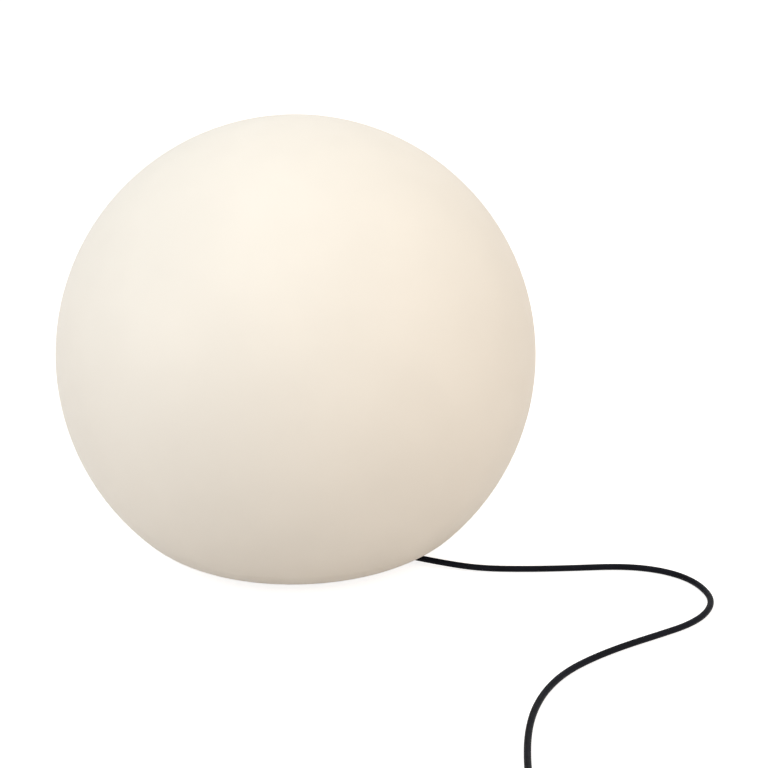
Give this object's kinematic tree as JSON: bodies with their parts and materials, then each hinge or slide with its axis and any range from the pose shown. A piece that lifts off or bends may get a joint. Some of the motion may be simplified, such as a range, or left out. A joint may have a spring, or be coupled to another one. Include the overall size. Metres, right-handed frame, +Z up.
{
  "type": "garden globe light",
  "caption": "Free-standing garden globe light: an opal plastic ball on a screwed-in base with a lampholder, a screw-cap lamp and a rubber lead with a plug.",
  "frame": {"origin": "on the ground under the middle of the ball, level with the undersides of the rubber feet", "axes": "+Z up along the ball's axis, -Y towards the picture's camera; the lead leaves under the ball 30 degrees from +X towards -Y"},
  "size_m": [0.6645, 0.9029, 0.4585],
  "materials": {
    "opal_polyethylene": "matt, rotomoulded polyethylene, opal warm white",
    "brass": "turned",
    "grey_plastic": "fine moulded grain",
    "gasket_rubber": "closed-cell, matt",
    "stainless_steel": "plain",
    "foot_rubber": "matt",
    "gland_plastic": "satin polyamide",
    "cable_rubber": "satin rubber sheath",
    "boot_rubber": "satin",
    "brown_insulation": "smooth",
    "blue_insulation": "smooth",
    "zinc_plated_steel": "zinc plated",
    "holder_plastic": "thermoset, satin",
    "porcelain": "unglazed ceramic",
    "contact_bronze": "spring bronze",
    "sleeve_metal": "rolled",
    "lamp_tip_metal": "soft, worn bright",
    "lamp_glass_black": "black insulating body",
    "nickel_plated_brass": "nickel plated, rolled",
    "lamp_white_plastic": "smooth",
    "board_aluminium": "white solder mask",
    "led_yellow": "phosphor",
    "driver_board": "green laminate",
    "lamp_opal_plastic": "opal, satin",
    "plug_rubber": "moulded, fine grain",
    "pin_metal": "nickel plated brass"
  },
  "bodies": {
    "base": {"base_cover": "grey_plastic", "cover_gasket": "gasket_rubber", "cover_screws": "stainless_steel", "screw_washers": "stainless_steel", "rubber_feet": "foot_rubber", "gland_washer": "gasket_rubber", "gland_body": "gland_plastic", "gland_locknut": "gland_plastic", "gland_seal": "gasket_rubber", "gland_nut": "gland_plastic", "cord_inner": "cable_rubber", "cord_boot": "boot_rubber", "core_live": "brown_insulation", "core_neutral": "blue_insulation", "holder_pillar": "grey_plastic", "pillar_screws": "zinc_plated_steel", "nipple": "zinc_plated_steel", "nipple_nut": "zinc_plated_steel", "holder_cap": "holder_plastic", "holder_body": "holder_plastic", "terminal_block": "porcelain", "terminal_screws": "brass", "centre_contact": "contact_bronze", "thread_sleeve": "sleeve_metal", "cord_lead": "cable_rubber", "cord_coil": "cable_rubber", "plug_boot": "plug_rubber", "plug_body": "plug_rubber", "plug_pins": "pin_metal"},
    "globe": {"globe_shell": "opal_polyethylene", "insert_bushes": "brass"},
    "lamp_seat": {"lamp_tip": "lamp_tip_metal"},
    "lamp": {"lamp_insulator": "lamp_glass_black", "lamp_cap": "nickel_plated_brass", "lamp_housing": "lamp_white_plastic", "lamp_board": "board_aluminium", "lamp_leds": "led_yellow", "lamp_driver": "driver_board", "lamp_bulb": "lamp_opal_plastic"}
  },
  "joints": [
    {"name": "globe_lift", "type": "slide", "parent": "base", "child": "globe", "axis": [0, 0, 1], "range_m": [0, 0.26]},
    {"name": "lamp_rise", "type": "slide", "parent": "base", "child": "lamp_seat", "axis": [0, 0, 1], "range_m": [0, 0.02541]},
    {"name": "lamp_turn", "type": "hinge", "parent": "lamp_seat", "child": "lamp", "pos_m": [0, 0, 0.11], "axis": [0, 0, 1], "range_deg": [0, 2520]}
  ],
  "couplings": [
    {"joint": "lamp_rise", "follows": "lamp_turn", "m_per_rad": 0.00057757}
  ]
}
